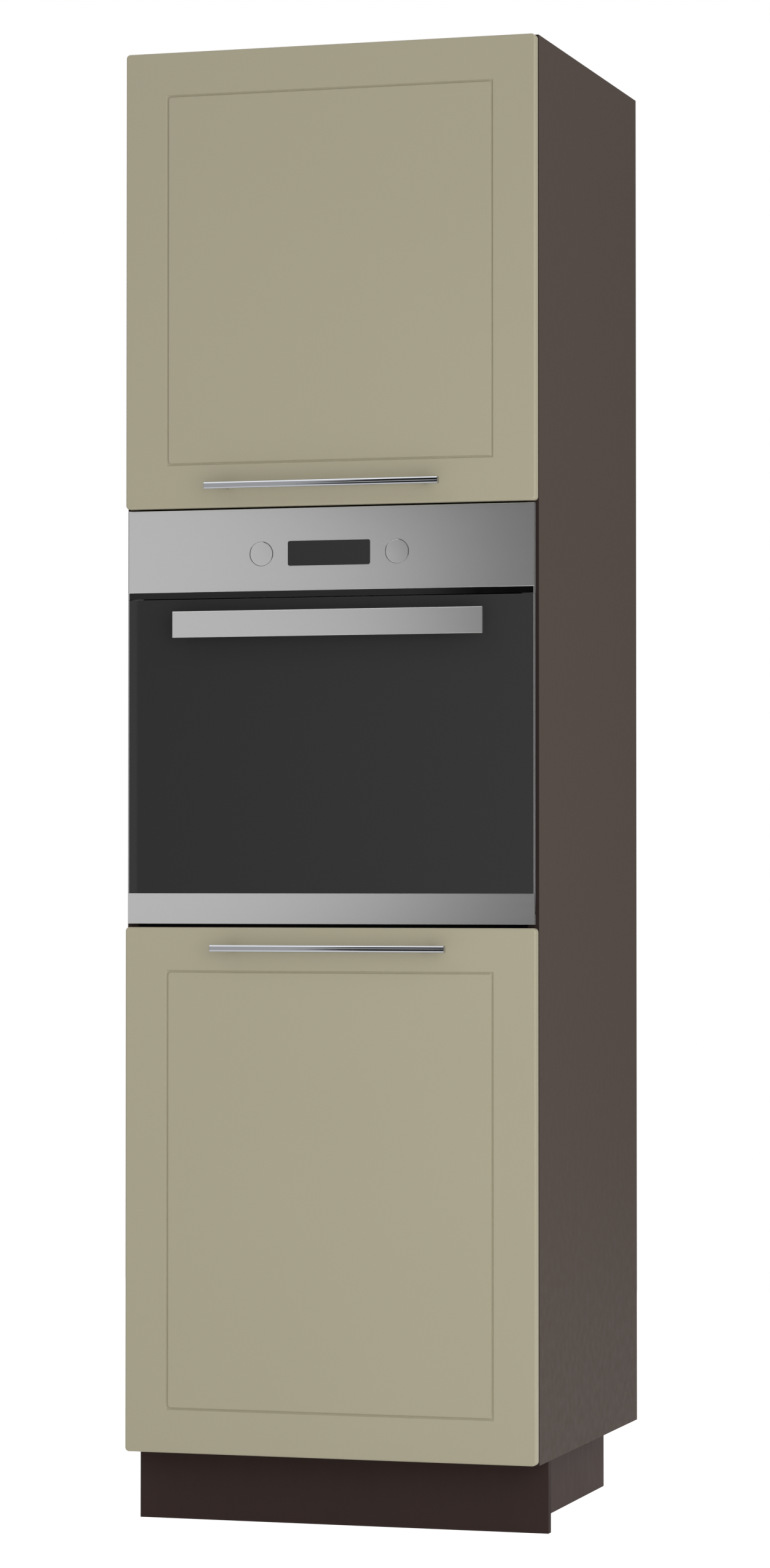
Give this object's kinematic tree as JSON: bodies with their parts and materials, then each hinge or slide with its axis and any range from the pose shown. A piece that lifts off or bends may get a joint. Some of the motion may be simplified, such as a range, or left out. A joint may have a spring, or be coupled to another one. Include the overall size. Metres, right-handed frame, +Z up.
{
  "type": "tall oven housing unit",
  "caption": "Tall kitchen cabinet on a recessed plinth, with hinged cupboards above and below a built-in electric oven with a drop-down door.",
  "frame": {"origin": "middle of the footprint of the whole unit, on the floor", "axes": "+Z up, the front with the doors faces -Y, +X to the right of a person who faces the unit"},
  "size_m": [0.6, 0.618, 2.07],
  "materials": {
    "carcass_board": "dark textured melamine, matt",
    "plinth_board": "dark matt board",
    "door_lacquer": "olive beige satin lacquer",
    "chrome": "polished",
    "stainless": "fine horizontal brushing",
    "knob_steel": "satin",
    "black_glass": "dark tinted, opaque",
    "clear_glass": "clear",
    "zinc_steel": "zinc plated",
    "enamel": "speckled vitreous enamel",
    "chrome_wire": "bright wire",
    "heater_sheath": "heat darkened",
    "mineral_wool": "loose fibre",
    "silicone_seal": "matt",
    "gloss_black": "smooth",
    "black_plastic": "fine grain",
    "pale_plastic": "plain"
  },
  "bodies": {
    "root": {"air_grille": "gloss_black", "baking_tray": "enamel", "bottom_panel": "carcass_board", "cam_fittings": "zinc_steel", "control_bay_floor": "zinc_steel", "control_panel": "stainless", "control_switches": "pale_plastic", "display": "black_glass", "door_bumpers": "pale_plastic", "door_seal": "silicone_seal", "fan_cover": "enamel", "fan_motor": "zinc_steel", "heating_elements": "heater_sheath", "hinge_arms": "zinc_steel", "hinge_plates": "zinc_steel", "insulation": "mineral_wool", "knob_collars": "black_plastic", "lower_back_panel": "carcass_board", "lower_shelf": "carcass_board", "mains_terminal": "black_plastic", "niche_top_panel": "carcass_board", "oven_casing": "zinc_steel", "oven_cavity": "enamel", "oven_flange": "zinc_steel", "oven_lamp": "clear_glass", "oven_shelf": "carcass_board", "plinth_back": "plinth_board", "plinth_front": "plinth_board", "plinth_sides": "plinth_board", "rack_supports": "chrome_wire", "shelf_pins": "zinc_steel", "side_panel_left": "carcass_board", "side_panel_right": "carcass_board", "top_panel": "carcass_board", "upper_back_panel": "carcass_board", "upper_shelf": "carcass_board", "wall_rail": "carcass_board", "wire_rack": "chrome_wire", "wood_screws": "zinc_steel"},
    "upper_door": {"upper_door_panel": "door_lacquer", "upper_handle_bar": "chrome", "upper_handle_posts": "chrome", "upper_hinge_cups": "zinc_steel", "upper_hinge_pins": "zinc_steel"},
    "lower_door": {"lower_door_panel": "door_lacquer", "lower_handle_bar": "chrome", "lower_handle_posts": "chrome", "lower_hinge_cups": "zinc_steel", "lower_hinge_pins": "zinc_steel"},
    "oven_door": {"oven_door_frame": "zinc_steel", "oven_door_glass": "black_glass", "oven_inner_glass": "clear_glass", "oven_door_strip": "stainless", "oven_handle": "stainless", "oven_hinge_pins": "zinc_steel"},
    "function_spindle": {"function_spindle": "knob_steel"},
    "function_knob": {"function_knob": "knob_steel"},
    "temperature_spindle": {"temperature_spindle": "knob_steel"},
    "temperature_knob": {"temperature_knob": "knob_steel"},
    "convection_fan": {"convection_fan": "zinc_steel"}
  },
  "joints": [
    {"name": "upper_door_hinge", "type": "hinge", "parent": "root", "child": "upper_door", "pos_m": [-0.2913, -0.27348, 1.74725], "axis": [0, 0, -1], "range_deg": [0, 100]},
    {"name": "lower_door_hinge", "type": "hinge", "parent": "root", "child": "lower_door", "pos_m": [-0.2913, -0.27348, 0.469], "axis": [0, 0, -1], "range_deg": [0, 100]},
    {"name": "oven_door_hinge", "type": "hinge", "parent": "root", "child": "oven_door", "pos_m": [0, -0.267, 0.846], "axis": [1, 0, 0], "range_deg": [0, 90]},
    {"name": "function_turn", "type": "hinge", "parent": "root", "child": "function_spindle", "pos_m": [-0.099, -0.25, 1.3595], "axis": [0, 1, 0], "continuous": true},
    {"name": "function_knob_push", "type": "slide", "parent": "function_spindle", "child": "function_knob", "axis": [0, -1, 0], "range_m": [0, 0.014]},
    {"name": "temperature_turn", "type": "hinge", "parent": "root", "child": "temperature_spindle", "pos_m": [0.099, -0.25, 1.3595], "axis": [0, 1, 0], "range_deg": [0, 270]},
    {"name": "temperature_knob_push", "type": "slide", "parent": "temperature_spindle", "child": "temperature_knob", "axis": [0, -1, 0], "range_m": [0, 0.014]},
    {"name": "fan_spin", "type": "hinge", "parent": "root", "child": "convection_fan", "pos_m": [0, 0.16, 1.07], "axis": [0, 1, 0], "continuous": true}
  ]
}
